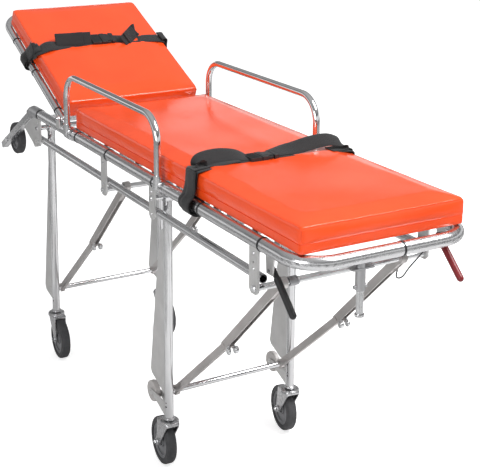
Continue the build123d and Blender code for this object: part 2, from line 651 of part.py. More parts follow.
SLAT_E = (90.0, 335.0, 530.0)
SLAT_LOW = -8.0
BACK_SHEET_LOW = 21.0
with BuildPart() as back_slats:
    for along in SLAT_E:
        back_slab((along - 12, along + 12), RAIL_Y - 6, SLAT_LOW, BACK_SHEET_LOW)
    for side in SIDES.values():
        rod(on_back(0, side * RAIL_Y, 0), on_back(560, side * RAIL_Y, 0), BACK_R + WELD_GAP, mode=Mode.SUBTRACT)
        for along in SLAT_E:
            trim = sorted((side * (RAIL_Y - 9), side * RAIL_Y))
            corner = on_back(along, 0, 0)
            block(
                (corner[0] - 40, trim[0], corner[2] - 40), (corner[0] + 40, trim[1], corner[2] + 40),
                mode=Mode.SUBTRACT,
            )
save(back_slats, "back_slats")

with BuildPart() as back_sheet:
    back_slab((0.0, 598.0), 232.0, BACK_SHEET_LOW, BACK_SHEET_LOW + DECK_THICK)
save(back_sheet, "back_sheet")

# ---------------------------------------------------------------- pads, straps and buckles
with BuildPart() as main_pad:
    block((PAD_HEAD_X, -PAD_HALF, PAD_Z), (PAD_FOOT_X, PAD_HALF, PAD_Z + PAD_THICK))
    fillet(main_pad.edges(), 8.0)
save(main_pad, "main_pad")

with BuildPart() as back_pad:
    back_slab(BACK_PAD_SPAN, PAD_HALF, BACK_PAD_LOW, BACK_PAD_LOW + PAD_THICK)
    fillet(back_pad.edges(), 8.0)
save(back_pad, "back_pad")

STRAP_LIFT = 0.5
BUCKLE_LENGTH = 96.0
BUCKLE_WIDTH = 58.0
BUCKLE_THICK = 13.0
LAP_BUCKLE_Y = -33.0
CHEST_BUCKLE_Y = 10.0

with BuildPart() as lap_strap:
    pad_top = PAD_Z + PAD_THICK + STRAP_LIFT
    low_x = LAP_STRAP_X - STRAP_WIDTH / 2
    high_x = LAP_STRAP_X + STRAP_WIDTH / 2
    edge = PAD_HALF + STRAP_LIFT
    block((low_x, -edge - STRAP_THICK, pad_top), (high_x, edge + STRAP_THICK, pad_top + STRAP_THICK))
    for side in SIDES.values():
        drop = sorted((side * edge, side * (edge + STRAP_THICK)))
        block((low_x, drop[0], RAIL_Z + RAIL_R + 1), (high_x, drop[1], pad_top))
save(lap_strap, "lap_strap")

with BuildPart() as lap_buckle:
    base = pad_top + STRAP_THICK + STRAP_LIFT
    block(
        (LAP_STRAP_X - BUCKLE_WIDTH / 2, LAP_BUCKLE_Y - BUCKLE_LENGTH / 2, base),
        (LAP_STRAP_X + BUCKLE_WIDTH / 2, LAP_BUCKLE_Y + BUCKLE_LENGTH / 2, base + BUCKLE_THICK),
    )
    fillet(lap_buckle.edges(), 3.0)
save(lap_buckle, "lap_buckle")

with BuildPart() as chest_strap:
    chest_low = CHEST_STRAP_E - STRAP_WIDTH / 2
    chest_high = CHEST_STRAP_E + STRAP_WIDTH / 2
    back_top = BACK_PAD_LOW + PAD_THICK + STRAP_LIFT
    back_slab((chest_low, chest_high), edge + STRAP_THICK, back_top, back_top + STRAP_THICK)
    back_slab((chest_low, chest_high), edge + STRAP_THICK, BACK_R + 1, back_top)
    back_slab((chest_low - 1, chest_high + 1), edge, BACK_R, back_top, mode=Mode.SUBTRACT)
save(chest_strap, "chest_strap")

with BuildPart() as chest_buckle:
    base = back_top + STRAP_THICK + STRAP_LIFT
    with BuildSketch(back_plane(base)):
        with Locations((CHEST_STRAP_E, -CHEST_BUCKLE_Y)):
            Rectangle(BUCKLE_WIDTH, BUCKLE_LENGTH)
    extrude(amount=BUCKLE_THICK)
    fillet(chest_buckle.edges(), 3.0)
save(chest_buckle, "chest_buckle")

# ---------------------------------------------------------------- release levers and locking peg
GRIP_START = 24.0
for side_name, side in SIDES.items():
    tilt = radians(LEVER_TILT)
    pivot_x, pivot_z = LEVER_PIVOT[side_name]
    with BuildPart() as lever:
        y = side * LEVER_Y
        neck = (pivot_x + (GRIP_START + 14) * cos(tilt), pivot_z - (GRIP_START + 14) * sin(tilt))
        strip((pivot_x, pivot_z), neck, 18.0, y, 6.0)
        first = (pivot_x + GRIP_START * cos(tilt), y, pivot_z - GRIP_START * sin(tilt))
        last = (pivot_x + LEVER_REACH * cos(tilt), y, pivot_z - LEVER_REACH * sin(tilt))
        rod(first, last, GRIP_R)
        with Locations(last):
            Sphere(GRIP_R)
        cross_rod(pivot_x, pivot_z, y - 10, y + 10, LEVER_PIN_R + RUN_GAP, mode=Mode.SUBTRACT)
    save(lever, f"release_lever_{side_name}")

PEG_SOCKET_R = 13.0
PEG_STEP_Z = 829.0
with BuildPart() as locking_peg:
    rod((PEG_X, PEG_Y, PEG_TIP_Z + 8), (PEG_X, PEG_Y, PEG_STEP_Z), PEG_R)
    with Locations((PEG_X, PEG_Y, PEG_TIP_Z + 4)):
        Cylinder(12.5, 8.0)
    fillet(locking_peg.edges().filter_by(GeomType.CIRCLE).sort_by(Axis.Z)[0], 2.0)
save(locking_peg, "locking_peg")

with BuildPart() as peg_bracket:
    rod((PEG_X, PEG_Y, PEG_STEP_Z + WELD_GAP), (PEG_X, PEG_Y, RAIL_Z), PEG_SOCKET_R)
    block((1060.0, PEG_Y - 32, 886.0), (1112.0, PEG_Y + 32, 890.0))
    plate([(1060, 890), (1066, 890), (1066, 905), (1060, 905)], PEG_Y, 64.0)
    for screw in (-1, 1):
        screw_y = PEG_Y + screw * PEG_SOCKET_R
        rod((PEG_X, screw_y, PEG_STEP_Z + 9), (PEG_X, screw_y + screw * 6, PEG_STEP_Z + 9), 5.0)
    cross_rod(FOOT_X, RAIL_Z, PEG_Y - 60, PEG_Y + 60, RAIL_R + WELD_GAP, mode=Mode.SUBTRACT)
save(peg_bracket, "peg_bracket")
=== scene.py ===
import json
import math

import bmesh
import bpy
from mathutils import Matrix, Quaternion, Vector, noise
from mathutils.bvhtree import BVHTree


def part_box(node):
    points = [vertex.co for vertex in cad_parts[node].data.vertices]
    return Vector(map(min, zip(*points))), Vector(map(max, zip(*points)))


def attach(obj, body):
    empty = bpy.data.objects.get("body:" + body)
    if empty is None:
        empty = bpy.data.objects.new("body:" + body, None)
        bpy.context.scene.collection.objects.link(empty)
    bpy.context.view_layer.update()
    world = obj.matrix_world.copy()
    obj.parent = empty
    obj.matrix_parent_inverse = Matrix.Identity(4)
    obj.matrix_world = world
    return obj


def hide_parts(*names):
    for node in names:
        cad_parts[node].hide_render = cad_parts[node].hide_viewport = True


# Looks of the wheeled ambulance stretcher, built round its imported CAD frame. Metres throughout.
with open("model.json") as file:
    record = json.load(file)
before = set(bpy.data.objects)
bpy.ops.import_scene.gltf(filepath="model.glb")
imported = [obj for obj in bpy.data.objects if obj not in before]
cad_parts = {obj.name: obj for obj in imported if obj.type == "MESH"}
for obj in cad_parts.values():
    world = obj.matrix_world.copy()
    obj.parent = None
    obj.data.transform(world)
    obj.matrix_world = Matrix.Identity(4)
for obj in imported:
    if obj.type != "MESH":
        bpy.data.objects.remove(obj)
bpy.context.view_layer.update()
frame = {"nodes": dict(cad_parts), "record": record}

CAMERA_AT = Vector((3.310, -1.701, 1.944))
CAMERA_AZIMUTH = math.radians(60.23)
CAMERA_DOWN = math.radians(12.18)
CAMERA_ROLL = math.radians(0.36)
LENS_MM = 87.7
FRAME_SHIFT = -0.299

JOINTS = {joint["name"]: joint for joint in frame["record"]["behaviour"]["joints"]}
BACK_HINGE = Vector(JOINTS["backrest_hinge"]["pos_m"])
BACK_ANGLE = math.radians(24.0)
RAIL_LOW, RAIL_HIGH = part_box("main_rail_far")
RAIL_Y = (RAIL_LOW.y + RAIL_HIGH.y) / 2
RAIL_Z = (RAIL_LOW.z + RAIL_HIGH.z) / 2
RAIL_R = (RAIL_HIGH.z - RAIL_LOW.z) / 2
BACK_TUBE_R = 0.014


# ---------------------------------------------------------------- camera, floor and light
def make_camera():
    data = bpy.data.cameras.new("camera")
    data.sensor_width = 36.0
    data.lens = LENS_MM
    data.shift_y = FRAME_SHIFT
    data.clip_end = 200.0
    camera = bpy.data.objects.new("camera", data)
    bpy.context.scene.collection.objects.link(camera)
    level = math.cos(CAMERA_DOWN)
    look = Vector((
        -math.sin(CAMERA_AZIMUTH) * level, math.cos(CAMERA_AZIMUTH) * level, -math.sin(CAMERA_DOWN)
    ))
    turn = look.to_track_quat("-Z", "Y") @ Quaternion((0, 0, 1), CAMERA_ROLL)
    camera.rotation_mode = "QUATERNION"
    camera.rotation_quaternion = turn
    camera.location = CAMERA_AT
    bpy.context.scene.camera = camera


def plain_object(name, verts, faces, material):
    mesh = bpy.data.meshes.new(name)
    mesh.from_pydata([tuple(v) for v in verts], [], faces)
    mesh.update()
    obj = bpy.data.objects.new(name, mesh)
    bpy.context.scene.collection.objects.link(obj)
    mesh.materials.append(material)
    return obj


def camera_or_else(tree, seen, otherwise):
    """A value that the camera sees, and another one for all other rays."""
    rays = tree.nodes.new("ShaderNodeLightPath")
    node = tree.nodes.new("ShaderNodeMapRange")
    node.inputs["To Min"].default_value = otherwise
    node.inputs["To Max"].default_value = seen
    tree.links.new(rays.outputs["Is Camera Ray"], node.inputs["Value"])
    return node.outputs["Result"]


def make_floor():
    material = bpy.data.materials.new("floor")
    material.use_nodes = True
    tree = material.node_tree
    bsdf = tree.nodes["Principled BSDF"]
    bsdf.inputs["Roughness"].default_value = 0.95
    bsdf.inputs["Specular IOR Level"].default_value = 0.0
    bsdf.inputs["Emission Color"].default_value = (1, 1, 1, 1)
    tree.links.new(camera_or_else(tree, 0.90, 0.80), bsdf.inputs["Base Color"])
    tree.links.new(camera_or_else(tree, 0.62, 0.0), bsdf.inputs["Emission Strength"])
    half = 45.0
    corners = [(-half, -half, 0), (half, -half, 0), (half, half, 0), (-half, half, 0)]
    plain_object("floor", corners, [(0, 1, 2, 3)], material)


def make_flags():
    """Dark studio flags that only show as streaks in the polished tubes."""
    material = bpy.data.materials.new("flag")
    material.use_nodes = True
    bsdf = material.node_tree.nodes["Principled BSDF"]
    bsdf.inputs["Base Color"].default_value = (0.02, 0.02, 0.02, 1)
    bsdf.inputs["Roughness"].default_value = 1.0
    verts = []
    faces = []
    pitch = 0.44
    width = 0.15
    height = 0.95
    for side in (-1.25, 1.25):
        for i in range(10):
            x = -1.9 + i * pitch
            start = len(verts)
            verts += [(x, side, 0), (x + width, side, 0), (x + width, side, height), (x, side, height)]
            faces.append((start, start + 1, start + 2, start + 3))
    for end in (-1.9, 2.2):
        for i in range(6):
            y = -1.25 + i * pitch
            start = len(verts)
            verts += [(end, y, 0), (end, y + width, 0), (end, y + width, height), (end, y, height)]
            faces.append((start, start + 1, start + 2, start + 3))
    flags = plain_object("flags", verts, faces, material)
    flags.visible_camera = False
    flags.visible_diffuse = False
    flags.visible_shadow = False
    flags.visible_transmission = False


def area_light(name, place, aim, size, power):
    data = bpy.data.lights.new(name, "AREA")
    data.shape = "SQUARE"
    data.size = size
    data.energy = power
    light = bpy.data.objects.new(name, data)
    light.location = place
    light.rotation_euler = (Vector(aim) - Vector(place)).to_track_quat("-Z", "Y").to_euler()
    bpy.context.scene.collection.objects.link(light)


def make_light():
    """A white studio: bright near the horizon, darker above, with two soft lamps."""
    world = bpy.data.worlds.new("studio")
    world.use_nodes = True
    tree = world.node_tree
    background = tree.nodes["Background"]
    place = tree.nodes.new("ShaderNodeTexCoord")
    split = tree.nodes.new("ShaderNodeSeparateXYZ")
    ramp = tree.nodes.new("ShaderNodeValToRGB")
    tree.links.new(place.outputs["Generated"], split.inputs["Vector"])
    tree.links.new(split.outputs["Z"], ramp.inputs["Fac"])
    stops = ramp.color_ramp.elements
    stops[0].position = 0.235
    stops[0].color = (1.0, 1.0, 1.0, 1)
    stops[1].position = 0.272
    stops[1].color = (0.10, 0.10, 0.105, 1)
    middle = stops.new(0.55)
    middle.color = (0.42, 0.42, 0.42, 1)
    top = stops.new(1.0)
    top.color = (0.62, 0.62, 0.62, 1)
    tree.links.new(ramp.outputs["Color"], background.inputs["Color"])
    background.inputs["Strength"].default_value = 0.95
    plain = tree.nodes.new("ShaderNodeBackground")
    plain.inputs["Color"].default_value = (1, 1, 1, 1)
    plain.inputs["Strength"].default_value = 1.05
    rays = tree.nodes.new("ShaderNodeLightPath")
    mix = tree.nodes.new("ShaderNodeMixShader")
    tree.links.new(rays.outputs["Is Camera Ray"], mix.inputs["Fac"])
    tree.links.new(background.outputs["Background"], mix.inputs[1])
    tree.links.new(plain.outputs["Background"], mix.inputs[2])
    tree.links.new(mix.outputs["Shader"], tree.nodes["World Output"].inputs["Surface"])
    bpy.context.scene.world = world
    area_light("key", (2.2, 1.6, 4.4), (0, 0, 0.8), 2.2, 210)
    area_light("fill", (2.2, -3.4, 1.9), (0, 0, 0.7), 1.6, 48)
    bpy.context.scene.view_settings.view_transform = "Standard"


# ---------------------------------------------------------------- materials
# The part of a noise's range that a finish spreads over its own two values.
NOISE_LOW = 0.3
NOISE_HIGH = 0.7


class Finish:
    """One procedural material: short calls for the nodes that the finishes share."""

    def __init__(self, name, roughness=0.5, metallic=0.0):
        self.material = bpy.data.materials.new(name)
        self.material.use_nodes = True
        self.tree = self.material.node_tree
        self.bsdf = self.tree.nodes["Principled BSDF"]
        self.bsdf.inputs["Metallic"].default_value = metallic
        self.bsdf.inputs["Roughness"].default_value = roughness
        self.place = self.tree.nodes.new("ShaderNodeTexCoord").outputs["Object"]
        self.last_bump = None

    def constant(self, **values):
        """Set plain values on the shader's own sockets."""
        for name, value in values.items():
            self.bsdf.inputs[name.replace("_", " ")].default_value = value

    def stretched(self, scale):
        mapping = self.tree.nodes.new("ShaderNodeMapping")
        mapping.inputs["Scale"].default_value = scale
        self.tree.links.new(self.place, mapping.inputs["Vector"])
        return mapping.outputs["Vector"]

    def noise(self, scale, detail=3.0, stretch=None):
        node = self.tree.nodes.new("ShaderNodeTexNoise")
        node.inputs["Scale"].default_value = scale
        node.inputs["Detail"].default_value = detail
        self.tree.links.new(self.stretched(stretch) if stretch else self.place, node.inputs["Vector"])
        return node.outputs["Fac"]

    def cells(self, scale):
        node = self.tree.nodes.new("ShaderNodeTexVoronoi")
        node.inputs["Scale"].default_value = scale
        self.tree.links.new(self.place, node.inputs["Vector"])
        return node.outputs["Distance"]

    def spread(self, value, low, high):
        node = self.tree.nodes.new("ShaderNodeMapRange")
        node.inputs["From Min"].default_value = NOISE_LOW
        node.inputs["From Max"].default_value = NOISE_HIGH
        node.inputs["To Min"].default_value = low
        node.inputs["To Max"].default_value = high
        self.tree.links.new(value, node.inputs["Value"])
        return node.outputs["Result"]

    def rough(self, value, low, high):
        self.tree.links.new(self.spread(value, low, high), self.bsdf.inputs["Roughness"])

    def colour(self, value, dark, light):
        node = self.tree.nodes.new("ShaderNodeValToRGB")
        node.color_ramp.elements[0].position = NOISE_LOW
        node.color_ramp.elements[1].position = NOISE_HIGH
        node.color_ramp.elements[0].color = (*dark, 1)
        node.color_ramp.elements[1].color = (*light, 1)
        self.tree.links.new(value, node.inputs["Fac"])
        self.tree.links.new(node.outputs["Color"], self.bsdf.inputs["Base Color"])

    def bump(self, height, strength, distance):
        node = self.tree.nodes.new("ShaderNodeBump")
        node.inputs["Strength"].default_value = strength
        node.inputs["Distance"].default_value = distance
        self.tree.links.new(height, node.inputs["Height"])
        if self.last_bump:
            self.tree.links.new(self.last_bump, node.inputs["Normal"])
        self.last_bump = node.outputs["Normal"]
        self.tree.links.new(self.last_bump, self.bsdf.inputs["Normal"])


def metal(name, dark, light, rough, grain=700.0, streak=None, bump=0.05):
    """Bare metal with slow colour drift, uneven polish and a fine grain."""
    finish = Finish(name, metallic=1.0)
    finish.colour(finish.noise(9.0, 4.0), dark, light)
    finish.rough(finish.noise(160.0, 4.0, streak), *rough)
    finish.bump(finish.noise(grain, 2.0, streak), bump, 0.0004)
    return finish.material


def moulded(name, dark, light, rough, grain=1500.0, bump=0.12):
    """Moulded plastic or rubber: faint mottling and a fine spark-eroded texture."""
    finish = Finish(name)
    finish.colour(finish.noise(40.0, 4.0), dark, light)
    finish.rough(finish.noise(220.0, 3.0), *rough)
    finish.bump(finish.noise(grain, 2.0), bump, 0.0003)
    return finish.material


def fin_plate():
    finish = Finish("grey_plate", metallic=0.75)
    finish.colour(finish.noise(14.0, 5.0), (0.60, 0.595, 0.59), (0.70, 0.695, 0.69))
    finish.rough(finish.noise(260.0, 3.0, (1.0, 1.0, 0.05)), 0.34, 0.5)
    finish.bump(finish.noise(900.0, 2.0, (1.0, 1.0, 0.04)), 0.08, 0.0004)
    return finish.material


def zinc():
    finish = Finish("zinc_plate", metallic=1.0)
    finish.colour(finish.cells(120.0), (0.50, 0.50, 0.51), (0.66, 0.66, 0.67))
    finish.rough(finish.noise(300.0, 3.0), 0.22, 0.38)
    finish.bump(finish.noise(800.0, 2.0), 0.06, 0.0004)
    return finish.material


def vinyl():
    """Coated orange fabric: fine leather-like grain, a soft gloss and faint scuffs."""
    finish = Finish("orange_vinyl")
    finish.colour(finish.noise(5.0, 4.0), (0.88, 0.072, 0.010), (0.94, 0.086, 0.014))
    finish.rough(finish.noise(35.0, 4.0), 0.16, 0.23)
    finish.bump(finish.cells(1100.0), 0.10, 0.0003)
    finish.bump(finish.noise(60.0, 3.0), 0.10, 0.0012)
    finish.constant(Coat_Weight=0.15, Coat_Roughness=0.10)
    return finish.material


def weave():
    """Woven webbing: herringbone ribs that follow the strap through its own coordinates."""
    finish = Finish("black_webbing", roughness=0.85)
    attribute = finish.tree.nodes.new("ShaderNodeAttribute")
    attribute.attribute_name = "strap_place"
    waves = []
    for turn, scale in ((0.6, 260.0), (-0.6, 260.0)):
        mapping = finish.tree.nodes.new("ShaderNodeMapping")
        mapping.inputs["Rotation"].default_value = (0, 0, turn)
        finish.tree.links.new(attribute.outputs["Vector"], mapping.inputs["Vector"])
        wave = finish.tree.nodes.new("ShaderNodeTexWave")
        wave.inputs["Scale"].default_value = scale
        finish.tree.links.new(mapping.outputs["Vector"], wave.inputs["Vector"])
        waves.append(wave.outputs["Fac"])
    both = finish.tree.nodes.new("ShaderNodeMath")
    both.operation = "MULTIPLY"
    finish.tree.links.new(waves[0], both.inputs[0])
    finish.tree.links.new(waves[1], both.inputs[1])
    finish.colour(both.outputs[0], (0.008, 0.008, 0.009), (0.024, 0.024, 0.026))
    finish.bump(both.outputs[0], 0.5, 0.0006)
    finish.constant(Sheen_Weight=0.15, Sheen_Roughness=0.5)
    return finish.material


def make_materials():
    along_x = (0.06, 1.0, 1.0)
    along_z = (1.0, 1.0, 0.05)
    return {
        "satin_tube": metal("satin_tube", (0.58, 0.58, 0.59), (0.68, 0.68, 0.69), (0.18, 0.30),
                            streak=along_x),
        "polished_tube": metal("polished_tube", (0.66, 0.66, 0.67), (0.76, 0.76, 0.77), (0.07, 0.14),
                               streak=along_z, bump=0.03),
        "grey_plate": fin_plate(),
        "cast_alloy": metal("cast_alloy", (0.44, 0.44, 0.45), (0.56, 0.56, 0.57), (0.34, 0.5), grain=420.0,
                            bump=0.25),
        "link_grey": metal("link_grey", (0.50, 0.475, 0.465), (0.62, 0.595, 0.585), (0.30, 0.42)),
        "zinc_plate": zinc(),
        "polished_steel": metal("polished_steel", (0.62, 0.63, 0.64), (0.80, 0.80, 0.81), (0.10, 0.2)),
        "spring_steel": metal("spring_steel", (0.34, 0.34, 0.35), (0.5, 0.5, 0.51), (0.25, 0.4)),
        "black_plastic": moulded("black_plastic", (0.012, 0.012, 0.013), (0.022, 0.022, 0.024), (0.32, 0.45)),
        "black_grip": moulded("black_grip", (0.008, 0.008, 0.009), (0.016, 0.016, 0.017), (0.36, 0.5),
                              grain=900.0),
        "red_grip": moulded("red_grip", (0.17, 0.008, 0.012), (0.23, 0.012, 0.016), (0.3, 0.42), grain=900.0),
        "tyre_rubber": moulded("tyre_rubber", (0.035, 0.035, 0.038), (0.06, 0.06, 0.064), (0.55, 0.75),
                               grain=700.0, bump=0.2),
        "hub_plastic": moulded("hub_plastic", (0.16, 0.16, 0.17), (0.22, 0.22, 0.23), (0.38, 0.5)),
        "roller_plastic": moulded("roller_plastic", (0.42, 0.40, 0.39), (0.52, 0.50, 0.49), (0.35, 0.5)),
        "orange_vinyl": vinyl(),
        "black_webbing": weave(),
    }


def finish_cad_nodes():
    for part in frame["record"]["subparts"]:
        node = frame["nodes"][part["node"]]
        node.data.materials.clear()
        node.data.materials.append(MATERIALS[part["material_slot"]])


# ---------------------------------------------------------------- mesh helpers
def to_object(bm, name, slot, smooth=True):
    """Turn a bmesh into a finished, shaded object."""
    bmesh.ops.recalc_face_normals(bm, faces=bm.faces)
    mesh = bpy.data.meshes.new(name)
    bm.to_mesh(mesh)
    bm.free()
    obj = bpy.data.objects.new(name, mesh)
    bpy.context.scene.collection.objects.link(obj)
    mesh.materials.append(MATERIALS[slot])
    for face in mesh.polygons:
        face.use_smooth = smooth
    return obj


def apply_modifiers(obj):
    depsgraph = bpy.context.evaluated_depsgraph_get()
    mesh = bpy.data.meshes.new_from_object(obj.evaluated_get(depsgraph))
    obj.modifiers.clear()
    obj.data = mesh


def rounded_block(bm, low, high, radius, matrix=None, segments=3):
    """Add a block with rounded edges to a bmesh."""
    size = Vector(high) - Vector(low)
    middle = (Vector(high) + Vector(low)) / 2
    place = Matrix.Translation(middle) @ Matrix.Diagonal((*size, 1))
    made = bmesh.ops.create_cube(bm, size=1.0, matrix=place)
    verts = made["verts"]
    edges = list({e for v in verts for e in v.link_edges})
    done = bmesh.ops.bevel(bm, geom=edges, offset=radius, segments=segments, profile=0.5, affect="EDGES")
    if matrix:
        moved = list({v for f in done["faces"] for v in f.verts} | {v for v in verts if v.is_valid})
        bmesh.ops.transform(bm, matrix=matrix, verts=moved)


def lathe(bm, outline, place, steps=28):
    """Turn (height, radius) points about a placed local Z axis; each end closes on the axis."""
    rings = []
    for height, radius in outline:
        ring = []
        for i in range(steps):
            angle = 2 * math.pi * i / steps
            point = place @ Vector((radius * math.cos(angle), radius * math.sin(angle), height))
            ring.append(bm.verts.new(point))
        rings.append(ring)
    for lower, upper in zip(rings, rings[1:]):
        for i in range(steps):
            j = (i + 1) % steps
            bm.faces.new((lower[i], lower[j], upper[j], upper[i]))
    bm.faces.new(rings[0][::-1])
    bm.faces.new(rings[-1])


def aimed(origin, axis):
    """A matrix whose local Z runs along axis."""
    return Matrix.Translation(Vector(origin)) @ Vector(axis).to_track_quat("Z", "Y").to_matrix().to_4x4()


def catmull_rom(p, q, r, s, t):
    """The value at t of the curve that runs from q to r."""
    square = (2 * p - 5 * q + 4 * r - s) * t * t
    cube = (3 * q - p - 3 * r + s) * t ** 3
    return 0.5 * (2 * q + (r - p) * t + square + cube)


def smooth_path(points, per_span):
    """Catmull-Rom curve through points of any dimension."""
    last = len(points) - 1
    path = []
    for i in range(last):
        a, b, c, d = [points[min(max(k, 0), last)] for k in (i - 1, i, i + 1, i + 2)]
        for step in range(per_span):
            t = step / per_span
            path.append([catmull_rom(p, q, r, s, t) for p, q, r, s in zip(a, b, c, d)])
    path.append(list(points[-1]))
    return path


def tube_along(bm, points, radius, closed=False, steps=10):
    """Sweep a round section along a list of points, with no twist."""
    points = [Vector(p) for p in points]
    count = len(points)
    tangents = []
    for i in range(count):
        before = points[(i - 1) % count if closed else max(i - 1, 0)]
        after = points[(i + 1) % count if closed else min(i + 1, count - 1)]
        tangents.append((after - before).normalized())
    side = tangents[0].orthogonal().normalized()
    rings = []
    for i in range(count):
        if i:
            side = (tangents[i - 1].rotation_difference(tangents[i]) @ side)
        side = (side - tangents[i] * side.dot(tangents[i])).normalized()
        other = tangents[i].cross(side)
        ring = []
        for k in range(steps):
            angle = 2 * math.pi * k / steps
            ring.append(bm.verts.new(points[i] + (side * math.cos(angle) + other * math.sin(angle)) * radius))
        rings.append(ring)
    pairs = list(zip(rings, rings[1:]))
    if closed:
        pairs.append((rings[-1], rings[0]))
    for lower, upper in pairs:
        shift = 0
        if closed and lower is rings[-1]:
            shift = min(range(steps), key=lambda k: (upper[k].co - lower[0].co).length)
        for k in range(steps):
            j = (k + 1) % steps
            bm.faces.new((lower[k], lower[j], upper[(j + shift) % steps], upper[(k + shift) % steps]))
    if not closed:
        bm.faces.new(rings[0][::-1])
        bm.faces.new(rings[-1])


# ---------------------------------------------------------------- places on the backrest
def on_back(along, across, above):
    """A point of the backrest: distance from its hinge, side, and height over its tubes."""
    run = Vector((-math.cos(BACK_ANGLE), 0, math.sin(BACK_ANGLE)))
    up = Vector((math.sin(BACK_ANGLE), 0, math.cos(BACK_ANGLE)))
    return BACK_HINGE + run * along + Vector((0, across, 0)) + up * above


# ---------------------------------------------------------------- padded mattresses
PAD_HALF = 0.255
PAD_THICK = 0.059
PAD_CELL = 0.0065
PAD_SHRINK = 0.0025
SWELL_CAP = 0.0075
SWELL_FRAMES = 20
PRESSURE = 4.0
WELT_LIFT = 0.0003
BACK_PAD_SPAN = (-0.018, 0.607)
BACK_PAD_LOW = 0.024


def pad_blank(name, place, length, low):
    """The slightly smaller cover that the foam then fills."""
    bm = bmesh.new()
    shrink = PAD_SHRINK
    rounded_block(
        bm, (shrink, -PAD_HALF + shrink, low + shrink),
        (length - shrink, PAD_HALF - shrink, low + PAD_THICK - shrink), 0.006,
    )
    for vert in bm.verts:
        vert.co = place(vert.co.x, vert.co.y, vert.co.z)
    return to_object(bm, name, "orange_vinyl")


def swell(pad, local):
    """Fill the cover by cloth simulation, held along its welded edges."""
    remesh = pad.modifiers.new("remesh", "REMESH")
    remesh.mode = "VOXEL"
    remesh.voxel_size = PAD_CELL
    apply_modifiers(pad)
    start = [v.co.copy() for v in pad.data.vertices]
    group = pad.vertex_groups.new(name="held")
    underside = []
    for vert in pad.data.vertices:
        height, edge = local(vert.co)
        if height < 0.004:
            underside.append(vert.index)
        elif edge < 0.007 and height > PAD_THICK - 0.018:
            group.add([vert.index], 0.85, "REPLACE")
    group.add(underside, 1.0, "REPLACE")
    cloth = pad.modifiers.new("cloth", "CLOTH")
    cloth.settings.quality = 5
    cloth.settings.mass = 0.35
    cloth.settings.tension_stiffness = 25
    cloth.settings.compression_stiffness = 25
    cloth.settings.bending_stiffness = 2.0
    cloth.settings.use_pressure = True
    cloth.settings.uniform_pressure_force = PRESSURE
    cloth.settings.effector_weights.gravity = 0.0
    cloth.settings.vertex_group_mass = "held"
    cloth.point_cache.frame_start = 1
    cloth.point_cache.frame_end = SWELL_FRAMES
    for step in range(1, SWELL_FRAMES + 1):
        bpy.context.scene.frame_set(step)
    apply_modifiers(pad)
    for vert, first in zip(pad.data.vertices, start):
        move = vert.co - first
        if move.length > SWELL_CAP:
            move *= SWELL_CAP / move.length
        vert.co = first + move
    bpy.context.scene.frame_set(1)


def crease_pad(pad, local, up):
    """Shape that the simulation can't give: a slow dip and small puckers by the seams."""
    for vert in pad.data.vertices:
        height, edge = local(vert.co)
        if height < 0.01:
            continue
        slow = noise.noise(vert.co * 5.0) * 0.0012
        pucker = noise.noise(Vector((vert.co.x * 70, vert.co.y * 70, vert.co.z * 12))) * 0.0011
        near_seam = math.exp(-max(edge, 0.0) / 0.02)
        vert.co += up * (slow * (1 - near_seam) + pucker * near_seam)


def subdivide(obj):
    levels = obj.modifiers.new("levels", "SUBSURF")
    levels.levels = 1
    levels.render_levels = 1
    apply_modifiers(obj)
    for face in obj.data.polygons:
        face.use_smooth = True


def snapped_loop(pad, corners, push):
    """A loop of points round the pad's edge, brought onto its finished surface."""
    depsgraph = bpy.context.evaluated_depsgraph_get()
    tree = BVHTree.FromObject(pad, depsgraph)
    loop = []
    count = len(corners)
    for i in range(count):
        a = corners[i]
        b = corners[(i + 1) % count]
        run = b - a
        steps = max(int(run.length / 0.012), 2)
        for k in range(steps):
            t = (k + 0.5) / steps
            loop.append(a + run * t)
    finished = []
    for point in loop:
        hit = tree.find_nearest(point)
        finished.append(hit[0] + hit[1] * push)
    for _ in range(2):
        finished = [
            (finished[i - 1] + finished[i] * 2 + finished[(i + 1) % len(finished)]) / 4
            for i in range(len(finished))
        ]
    return finished


def make_pad(name, node, body, place, length, low, up):
    """One mattress: its filled cover, and a welt along every edge."""
    def local(point):
        """Height over the pad's underside, and distance from the nearest side."""
        relative = point - place(0, 0, low)
        along = relative.dot((place(1, 0, 0) - place(0, 0, 0)))
        edge = min(along, length - along, PAD_HALF - abs(point.y))
        return relative.dot(up), edge

    pad = pad_blank(name, place, length, low)
    swell(pad, local)
    crease_pad(pad, local, up)
    subdivide(pad)
    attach(pad, body)
    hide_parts(node)
    bm = bmesh.new()
    for height in (PAD_THICK - 0.002, 0.004):
        corners = [
            place(x, y, low + height)
            for x, y in ((0, -PAD_HALF), (length, -PAD_HALF), (length, PAD_HALF), (0, PAD_HALF))
        ]
        tube_along(bm, snapped_loop(pad, corners, WELT_LIFT), 0.0013, closed=True, steps=8)
    depsgraph = bpy.context.evaluated_depsgraph_get()
    tree = BVHTree.FromObject(pad, depsgraph)
    for x in (0.0, length):
        for y in (-PAD_HALF, PAD_HALF):
            posts = []
            for k in range(9):
                height = 0.004 + (PAD_THICK - 0.006) * k / 8
                hit = tree.find_nearest(place(x, y, low + height))
                posts.append(hit[0] + hit[1] * WELT_LIFT)
            tube_along(bm, posts, 0.0012, steps=8)
    welt = to_object(bm, f"{name}_welt", "orange_vinyl")
    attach(welt, body)


